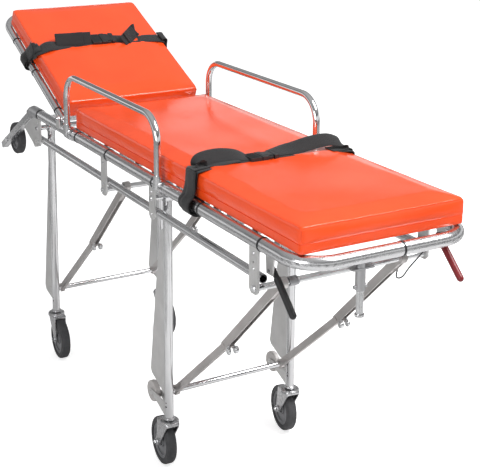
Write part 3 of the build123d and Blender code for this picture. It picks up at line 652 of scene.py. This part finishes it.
def make_hem(name, body, place, length, low, drop):
    """The cover's lower hem, which hangs past the pad's underside all round."""
    bm = bmesh.new()
    inset = 0.0022
    half = PAD_HALF - inset
    corner = 0.010
    outline = []
    end = length - inset
    for x, y, start in ((end, half, 0), (inset, half, 90), (inset, -half, 180), (end, -half, 270)):
        for k in range(5):
            angle = math.radians(start + 22.5 * k)
            centre_x = x - corner if x > length / 2 else x + corner
            centre_y = y - corner if y > 0 else y + corner
            outline.append((centre_x + corner * math.cos(angle), centre_y + corner * math.sin(angle)))
    count = len(outline)
    rings = []
    section = [(0.0, 0.010), (0.0003, -drop * 0.5), (-0.0006, -drop), (-0.0022, -drop), (-0.0026, 0.010)]
    for push, above in section:
        ring = []
        for x, y in outline:
            scale_x = (x - length / 2) / (length / 2)
            scale_y = y / PAD_HALF
            ring.append(bm.verts.new(place(x + push * scale_x, y + push * scale_y, low + above)))
        rings.append(ring)
    for lower, upper in zip(rings, rings[1:] + rings[:1]):
        for k in range(count):
            j = (k + 1) % count
            bm.faces.new((lower[k], lower[j], upper[j], upper[k]))
    hem = to_object(bm, name, "orange_vinyl", smooth=False)
    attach(hem, body)


def make_pads():
    def deck_place(along, across, above):
        return Vector((low.x + along, across, above))

    low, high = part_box("main_pad")
    make_pad("main_mattress", "main_pad", "deck", deck_place, high.x - low.x, low.z, Vector((0, 0, 1)))
    make_hem("main_mattress_hem", "deck", deck_place, high.x - low.x, low.z, 0.0135)

    def back_place(along, across, above):
        return on_back(BACK_PAD_SPAN[0] + along, across, above)

    length = BACK_PAD_SPAN[1] - BACK_PAD_SPAN[0]
    up = Vector((math.sin(BACK_ANGLE), 0, math.cos(BACK_ANGLE)))
    make_pad("back_mattress", "back_pad", "backrest", back_place, length, BACK_PAD_LOW, up)
    make_hem("back_mattress_hem", "backrest", back_place, length, BACK_PAD_LOW, 0.006)


# ---------------------------------------------------------------- webbing
STRAP_HALF = 0.0245
STRAP_THICK = 0.0022
CHEST_STRAP_AT = 0.335


def ribbon(bm, controls, place, layer, half=STRAP_HALF, per_span=8):
    """Sweep woven strap through control points: along, across, above, and the width's lean.

    The lean raises the side of the strap that lies further along, in degrees.
    """
    path = smooth_path([list(c) for c in controls], per_span)
    centre = [place(*p[:3]) for p in path]
    travelled = 0.0
    rings = []
    section = [(-1, -0.5), (-0.97, -1), (-0.5, -1), (0, -1), (0.5, -1), (0.97, -1), (1, -0.5),
               (1, 0.5), (0.97, 1), (0.5, 1), (0, 1), (-0.5, 1), (-0.97, 1), (-1, 0.5)]
    for i, point in enumerate(centre):
        ahead = centre[min(i + 1, len(centre) - 1)]
        behind = centre[max(i - 1, 0)]
        tangent = (ahead - behind).normalized()
        if i:
            travelled += (point - centre[i - 1]).length
        along, across, above, lean = path[i]
        lean = math.radians(lean)
        run = (place(along + 1, across, above) - place(along, across, above)).normalized()
        rise = (place(along, across, above + 1) - place(along, across, above)).normalized()
        width = run * math.cos(lean) + rise * math.sin(lean)
        width = (width - tangent * width.dot(tangent)).normalized()
        normal = tangent.cross(width).normalized()
        ripple = 0.0006 * math.sin(travelled * 90.0)
        ring = []
        for u, v in section:
            spot = point + width * (u * half) + normal * (v * STRAP_THICK / 2 + ripple * (u * u - 0.4))
            vert = bm.verts.new(spot)
            vert[layer] = Vector((travelled, u * half, 0))
            ring.append(vert)
        rings.append(ring)
    for lower, upper in zip(rings, rings[1:]):
        for k in range(len(section)):
            j = (k + 1) % len(section)
            bm.faces.new((lower[k], lower[j], upper[j], upper[k]))
    bm.faces.new(rings[0][::-1])
    bm.faces.new(rings[-1])


def tube_wrap(across, above, radius, start, end, steps, along):
    """Control points of a strap that goes round a tube, from one angle to another, in degrees."""
    points = []
    for i in range(steps + 1):
        angle = math.radians(start + (end - start) * i / steps)
        points.append((along, across + radius * math.cos(angle), above + radius * math.sin(angle), 0))
    return points


def webbing_piece(name, node, body, place, runs):
    """All runs of one strap, as one piece in place of its plain CAD band."""
    bm = bmesh.new()
    layer = bm.verts.layers.float_vector.new("strap_place")
    for controls in runs:
        ribbon(bm, controls, place, layer)
    piece = to_object(bm, name, "black_webbing")
    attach(piece, body)
    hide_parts(node)


def strap_end(side, top, tube_z, tube_r, along, tube_along_at, layer=0.0):
    """The run from the pad's top edge down its side and round the tube, at one layer's height."""
    ring = tube_r + STRAP_THICK + layer
    down = [
        (along, side * (PAD_HALF - 0.012), top + 0.0018 + layer, 0),
        (along, side * (PAD_HALF + 0.0015 + layer), top - 0.002 + layer, 0),
        (along * 0.7 + tube_along_at * 0.3, side * (PAD_HALF + 0.0035 + layer), top - 0.018, 0),
        (along * 0.2 + tube_along_at * 0.8, side * (PAD_HALF + 0.0045 + layer), top - 0.045, 0),
    ]
    if side > 0:
        around = tube_wrap(RAIL_Y, tube_z, ring, 60, -250, 9, tube_along_at)
    else:
        around = tube_wrap(-RAIL_Y, tube_z, ring, 120, 430, 9, tube_along_at)
    return down + around


def folded_tab(first, last, lean, gap=0.0045, leave=0.25):
    """A flat loop of slack from first to last and back over itself, leaning out of the surface.

    first and last are (along, across, above) of the lower layer's middle line.
    """
    turned = math.radians(lean)
    off = Vector((-math.sin(turned), 0, math.cos(turned)))
    first = Vector(first)
    last = Vector(last)
    run = (last - first).normalized()
    points = []
    for t in (0.0, 0.3, 0.65, 0.93, 1.0):
        points.append((*(first.lerp(last, t) + off * (0.0012 * math.sin(t * 9))), lean))
    points.append((*(last + run * 0.0016 + off * gap / 2), lean))
    for t in (1.0, 0.93, 0.65, 0.45, leave):
        points.append((*(first.lerp(last, t) + off * (gap + 0.0015 * math.sin(t * 7))), lean))
    return points


def make_lap_strap():
    """The lap strap: wrapped ends, slack folded back on each side, all over the main mattress."""
    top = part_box("main_pad")[1].z
    strap_low, strap_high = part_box("lap_strap")
    base = (strap_low.x + strap_high.x) / 2

    def place(along, across, above):
        return Vector((base + along, across, above))

    near = [
        (-0.014, -0.070, top + 0.007, 0), (-0.012, -0.13, top + 0.004, 0), (-0.006, -0.19, top + 0.003, 0),
    ]
    near += strap_end(-1, top, RAIL_Z, RAIL_R, 0.002, -0.004)
    near_second = [(-0.020, -0.195, top + 0.008, -6)]
    near_second += strap_end(-1, top, RAIL_Z, RAIL_R, -0.008, -0.016, 0.0045)
    near_third = strap_end(-1, top - 0.004, RAIL_Z, RAIL_R, 0.004, 0.006, 0.0085)[1:]
    near_slack = [
        (-0.018, -0.074, top + 0.012, -10), (-0.022, -0.110, top + 0.020, -34),
        (-0.024, -0.150, top + 0.024, -46), (-0.022, -0.190, top + 0.025, -48),
        (-0.018, -0.220, top + 0.022, -44), (-0.014, -0.232, top + 0.016, -40),
        (-0.010, -0.226, top + 0.011, -30), (-0.012, -0.190, top + 0.010, -18),
        (-0.014, -0.150, top + 0.010, -8), (-0.014, -0.110, top + 0.010, -3),
    ]
    far = [(-0.012, 0.006, top + 0.007, 0), (-0.008, 0.07, top + 0.004, 0), (0.004, 0.15, top + 0.003, 0),
           (0.014, 0.21, top + 0.003, 0)]
    far += strap_end(1, top, RAIL_Z, RAIL_R, 0.020, 0.020)
    far_second = strap_end(1, top, RAIL_Z, RAIL_R, 0.004, 0.010, 0.0045)
    far_slack = [
        (-0.018, 0.004, top + 0.012, -6), (-0.018, 0.045, top + 0.016, -20),
        (-0.014, 0.085, top + 0.020, -32), (-0.010, 0.125, top + 0.027, -38),
        (-0.006, 0.165, top + 0.033, -36), (0.000, 0.200, top + 0.033, -34),
        (0.006, 0.228, top + 0.024, -30), (0.010, 0.238, top + 0.012, -14),
        (0.012, 0.222, top + 0.0075, -4), (0.012, 0.190, top + 0.0070, 0),
    ]
    webbing_piece("lap_webbing", "lap_strap", "deck", place,
                  [near, near_second, near_third, near_slack, far, far_second, far_slack])


def make_chest_strap():
    """The chest strap on the backrest, with its slack folded into standing tabs."""
    top = BACK_PAD_LOW + PAD_THICK

    def place(along, across, above):
        return on_back(CHEST_STRAP_AT + along, across, above)

    near = [(0.0, -0.030, top + 0.007, 0), (-0.006, -0.10, top + 0.004, 0), (-0.014, -0.165, top + 0.006, 4),
            (-0.020, -0.205, top + 0.012, 8), (-0.026, -0.232, top + 0.007, 4)]
    near += strap_end(-1, top, 0.0, BACK_TUBE_R, -0.026, 0.030)
    near_second = strap_end(-1, top, 0.0, BACK_TUBE_R, -0.012, 0.040, 0.0045)
    near_third = strap_end(-1, top - 0.006, 0.0, BACK_TUBE_R, 0.0, 0.030, 0.0085)[1:]
    near_tab = folded_tab((-0.006, -0.040, top + 0.022), (0.002, -0.176, top + 0.019), 46)
    far = [(0.0, 0.050, top + 0.007, 0), (-0.006, 0.11, top + 0.004, 0), (-0.012, 0.18, top + 0.004, 0),
           (-0.016, 0.225, top + 0.004, 0)]
    far += strap_end(1, top, 0.0, BACK_TUBE_R, -0.018, -0.020)
    far_second = strap_end(1, top, 0.0, BACK_TUBE_R, -0.006, -0.010, 0.0045)
    far_third = strap_end(1, top + 0.002, 0.0, BACK_TUBE_R, -0.014, -0.030, 0.0085)
    far_tab = folded_tab((-0.038, 0.082, top + 0.014), (0.022, 0.150, top + 0.022), 34)
    webbing_piece("chest_webbing", "chest_strap", "backrest", place,
                  [near, near_second, near_third, near_tab, far, far_second, far_third, far_tab])


# ---------------------------------------------------------------- side-release buckles
def outline_slab(bm, outline, low, high, place, bevel=0.0009):
    """Extrude a flat outline between two heights, with softened edges."""
    lower = [bm.verts.new(Vector((x, y, low))) for x, y in outline]
    face = bm.faces.new(lower)
    raised = bmesh.ops.extrude_face_region(bm, geom=[face])
    upper = [g for g in raised["geom"] if isinstance(g, bmesh.types.BMVert)]
    bmesh.ops.translate(bm, verts=upper, vec=(0, 0, high - low))
    verts = lower + upper
    edges = list({e for v in verts for e in v.link_edges})
    done = bmesh.ops.bevel(bm, geom=edges, offset=bevel, segments=2, profile=0.5, affect="EDGES")
    moved = {v for f in done["faces"] for v in f.verts} | {v for v in verts if v.is_valid}
    for vert in moved:
        vert.co = place @ vert.co


def make_buckle(name, node, body, place):
    """Female shell with side windows, prongs and centre guide of the male half, and both strap bars."""
    bm = bmesh.new()
    shell = [
        (-0.008, -0.0275), (0.012, -0.0285), (0.012, -0.0215), (0.031, -0.0205), (0.031, -0.0280),
        (0.040, -0.0272), (0.0465, -0.0245), (0.0465, 0.0245), (0.040, 0.0272), (0.031, 0.0280),
        (0.031, 0.0205), (0.012, 0.0215), (0.012, 0.0285), (-0.008, 0.0275),
    ]
    outline_slab(bm, shell, 0.0, 0.0120, place)
    for side in (-1, 1):
        prong = [
            (-0.012, side * 0.0200), (0.008, side * 0.0222), (0.014, side * 0.0285), (0.025, side * 0.0282),
            (0.030, side * 0.0235), (0.028, side * 0.0190), (-0.012, side * 0.0150),
        ]
        outline_slab(bm, prong if side > 0 else prong[::-1], 0.0032, 0.0092, place)
    male = [
        (-0.046, -0.0255), (-0.043, -0.0275), (-0.0105, -0.0280), (-0.0105, 0.0280), (-0.043, 0.0275),
        (-0.046, 0.0255),
    ]
    outline_slab(bm, male, 0.0004, 0.0112, place)
    for x in (-0.040, -0.034, -0.028, -0.022, -0.016):
        rounded_block(bm, (x - 0.0011, -0.023, 0.0105), (x + 0.0011, 0.023, 0.0127), 0.0005, place, 2)
    rounded_block(bm, (-0.002, -0.015, 0.0115), (0.030, 0.015, 0.0129), 0.0006, place, 2)
    rounded_block(bm, (0.0335, -0.021, 0.0115), (0.0365, 0.021, 0.0128), 0.0005, place, 2)
    lathe(bm, [(-0.0265, 0.0026), (0.0265, 0.0026)], place @ aimed((0.0445, 0, 0.0090), (0, 1, 0)), 14)
    buckle = to_object(bm, name, "black_plastic", smooth=False)
    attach(buckle, body)
    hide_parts(node)


def make_buckles():
    low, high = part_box("lap_buckle")
    middle = (low + high) / 2
    quarter = Matrix.Rotation(math.pi / 2, 4, "Z")
    make_buckle("lap_side_release_buckle", "lap_buckle", "deck",
                Matrix.Translation((middle.x - 0.010, middle.y, low.z + 0.0004)) @ quarter)
    low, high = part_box("chest_buckle")
    middle = (low + high) / 2
    tilt = Matrix.Rotation(BACK_ANGLE, 4, "Y")
    up = Vector((math.sin(BACK_ANGLE), 0, math.cos(BACK_ANGLE)))
    place = Matrix.Translation(middle - up * 0.0060) @ tilt @ quarter
    make_buckle("chest_side_release_buckle", "chest_buckle", "backrest", place)


# ---------------------------------------------------------------- springs, fasteners and small fittings
def make_spring():
    low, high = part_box("release_spring")
    centre = (low + high) / 2
    wire = 0.0015
    radius = (high.x - low.x) / 2 - wire
    turns = 9
    per_turn = 26
    length = high.y - low.y - 2 * wire
    points = []
    for i in range(turns * per_turn + 1):
        angle = 2 * math.pi * i / per_turn
        across = low.y + wire + length * i / (turns * per_turn)
        x = centre.x + radius * math.cos(angle)
        z = centre.z + radius * math.sin(angle)
        points.append(Vector((x, across, z)))
    bm = bmesh.new()
    tube_along(bm, points, wire, steps=10)
    coil = to_object(bm, "coil_spring", "spring_steel")
    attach(coil, "deck")
    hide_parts("release_spring")


def hex_nut(bm, place, across_flats, height):
    """A chamfered hexagon with a domed stud end."""
    corner = across_flats / math.sqrt(3)
    lathe(bm, [(0, corner * 0.93), (height * 0.12, corner), (height * 0.85, corner), (height, corner * 0.9)],
          place, 6)
    stud = across_flats * 0.30
    lathe(bm, [(height * 0.5, stud), (height * 1.25, stud), (height * 1.4, stud * 0.8)], place, 18)


def washer(bm, place, radius, thick=0.0014):
    lathe(bm, [(0, radius), (thick * 0.7, radius), (thick, radius * 0.97)], place, 28)


def socket_screw(bm, place, radius):
    """A domed button screw with a socket."""
    height = radius * 0.55
    lathe(bm, [(0, radius), (height * 0.3, radius * 0.98), (height * 0.75, radius * 0.75),
               (height, radius * 0.42), (height * 0.55, radius * 0.36)], place, 20)


def fasteners(name, body, slot, nuts=(), screws=()):
    bm = bmesh.new()
    for place, size in nuts:
        washer(bm, place, size * 0.82)
        hex_nut(bm, place @ Matrix.Translation((0, 0, 0.0013)), size, size * 0.5)
    for place, radius in screws:
        socket_screw(bm, place, radius)
    piece = to_object(bm, name, slot, smooth=False)
    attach(piece, body)


def wheel_rings(name, body, centre, axis, reach, radii):
    """Moulded rings that stand on both faces of a hub, and its bore's rim."""
    steps = 44
    bm = bmesh.new()
    for face in (-1, 1):
        seat = aimed(centre + axis * face * (reach - 0.0050), axis * face)
        for radius in radii:
            profile = [
                (0, radius - 0.0026), (0.0040, radius - 0.0022), (0.0052, radius), (0.0040, radius + 0.0022),
                (0, radius + 0.0026),
            ]
            rings = []
            for height, size in profile:
                ring = []
                for i in range(steps):
                    angle = 2 * math.pi * i / steps
                    spot = Vector((size * math.cos(angle), size * math.sin(angle), height))
                    ring.append(bm.verts.new(seat @ spot))
                rings.append(ring)
            for lower, upper in zip(rings, rings[1:] + rings[:1]):
                for i in range(steps):
                    j = (i + 1) % steps
                    bm.faces.new((lower[i], lower[j], upper[j], upper[i]))
    piece = to_object(bm, name, "hub_plastic")
    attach(piece, body)


def make_caster_details():
    """Swivel races, axle nuts and leg collars of the four casters, and the rings on every wheel's hub."""
    for pair in ("head", "mid"):
        for side in ("near", "far"):
            name = f"{pair}_{side}"
            swivel = Vector(JOINTS[f"swivel_{name}"]["pos_m"])
            roll = JOINTS[f"roll_{name}"]
            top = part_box(f"fork_{name}")[1].z
            seat = Matrix.Translation((swivel.x, swivel.y, top - 0.0118))
            bm = bmesh.new()
            lathe(bm, [(0, 0.0275), (0.001, 0.0300), (0.0035, 0.0312), (0.0062, 0.0300), (0.0070, 0.0288),
                       (0.0078, 0.0300), (0.0100, 0.0308), (0.0120, 0.0296), (0.0122, 0.0270)], seat, 48)
            race = to_object(bm, f"swivel_race_{name}", "zinc_plate")
            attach(race, f"caster_{name}")
            axis = Vector(roll["axis"])
            axle = Vector(roll["pos_m"])
            nuts = []
            for face in (-1, 1):
                nuts.append((aimed(axle + axis * face * 0.0250, axis * face), 0.013))
            fasteners(f"axle_nuts_{name}", f"caster_{name}", "polished_steel", nuts=nuts)
            wheel_rings(f"wheel_rings_{name}", f"wheel_{name}", axle, axis, 0.0130, (0.0475, 0.0185))
            collar = bmesh.new()
            foot = Matrix.Translation((swivel.x, swivel.y, top + 0.0030))
            lathe(collar, [(0, 0.0150), (0.0015, 0.0185), (0.006, 0.0185), (0.0085, 0.0150)], foot, 32)
            piece = to_object(collar, f"leg_end_collar_{name}", "zinc_plate")
            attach(piece, f"{pair}_leg_pair")
    for side in ("near", "far"):
        roll = JOINTS[f"roll_loader_{side}"]
        wheel_rings(f"wheel_rings_loader_{side}", f"loading_wheel_{side}", Vector(roll["pos_m"]),
                    Vector((0, 1, 0)), 0.0120, (0.0370, 0.0160))


def make_frame_details():
    """Screws on the hangers, guards and legs, rivets on the fins, and black dots on the legs: painted shade
    that stands for holes near their lower ends.
    """
    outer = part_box("hangers")[1].y
    deck_screws = []
    for x, lower_row in ((-0.678, 0.845), (-0.072, 0.845), (0.290, 0.845), (0.890, 0.873)):
        for side in (-1, 1):
            for height in (0.915, lower_row):
                deck_screws.append((aimed((x, side * (outer - 0.0004), height), (0, side, 0)), 0.0048))
    fasteners("hanger_screws", "deck", "polished_steel", screws=deck_screws)
    for side, body in ((-1, "guard_near"), (1, "guard_far")):
        own = []
        for x in (-0.377, 0.337):
            own.append((aimed((x - 0.017, side * (RAIL_Y + 0.0234), RAIL_Z), (0, side, 0)), 0.0036))
        fasteners(f"{body}_screws", body, "polished_steel", screws=own)
    facing = Vector((0.35, -0.94, 0))
    for pair in ("head", "mid"):
        x = JOINTS[f"{pair}_leg_fold"]["pos_m"][0]
        # Black domed dots in the black plastic finish, low on each leg: painted shade standing in for the
        # dark of holes there.
        hole_shade_dots = []
        heads = []
        for y in (-0.222, 0.222):
            for height, radius in ((0.213, 0.0030), (0.226, 0.0022)):
                hole_shade_dots.append((aimed(Vector((x, y, height)) + facing * 0.0134, facing), radius))
            for height in (0.30, 0.45, 0.60, 0.74):
                heads.append((aimed((x - 0.026, y - 0.0014, height), (0, -1, 0)), 0.0026))
        fasteners(f"{pair}_leg_hole_shade_dots", f"{pair}_leg_pair", "black_plastic", screws=hole_shade_dots)
        fasteners(f"{pair}_fin_rivets", f"{pair}_leg_pair", "grey_plate", screws=heads)


def make_lever_link():
    """The black looped link over the near lever's pivot."""
    pivot = Vector(JOINTS["lever_near_pull"]["pos_m"])
    points = []
    for i in range(28):
        angle = 2 * math.pi * i / 28
        reach = Vector((-0.004 + 0.010 * math.cos(angle), -0.0060, 0.010 + 0.022 * math.sin(angle)))
        points.append(pivot + reach)
    bm = bmesh.new()
    tube_along(bm, points, 0.0022, closed=True, steps=8)
    link = to_object(bm, "lever_link", "black_plastic")
    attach(link, "lever_near")


make_camera()
make_floor()
make_flags()
make_light()
MATERIALS = make_materials()
finish_cad_nodes()
make_pads()
make_lap_strap()
make_chest_strap()
make_buckles()
make_spring()
make_caster_details()
make_frame_details()
make_lever_link()
